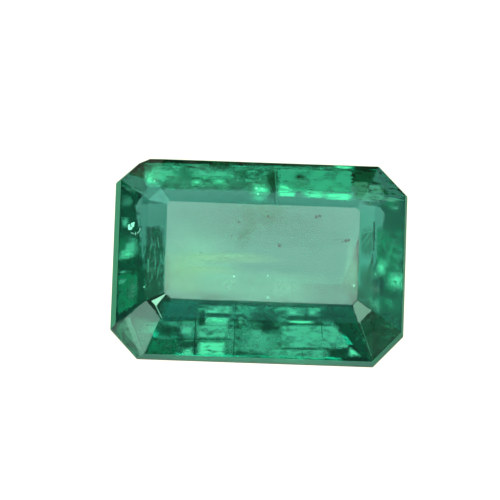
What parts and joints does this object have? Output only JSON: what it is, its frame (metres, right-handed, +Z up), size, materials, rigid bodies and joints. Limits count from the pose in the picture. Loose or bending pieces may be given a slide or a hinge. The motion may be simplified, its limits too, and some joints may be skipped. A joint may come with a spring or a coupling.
{
  "type": "octagonal step-cut emerald",
  "caption": "Loose octagonal step-cut emerald: a rectangular cut stone with clipped corners, lying on the broad back facet of its underside with its table tilted up.",
  "frame": {"origin": "on the surface that the stone lies on, below the middle of its box", "axes": "+Z up, +X along the stone's length, +Y towards the back edge that the table leans down to"},
  "size_m": [0.007, 0.0048, 0.003],
  "materials": {
    "green_beryl": "polished flat facets, see-through bluish green, with faint veils and specks inside"
  },
  "bodies": {
    "root": {"cut_stone": "green_beryl"}
  },
  "joints": []
}
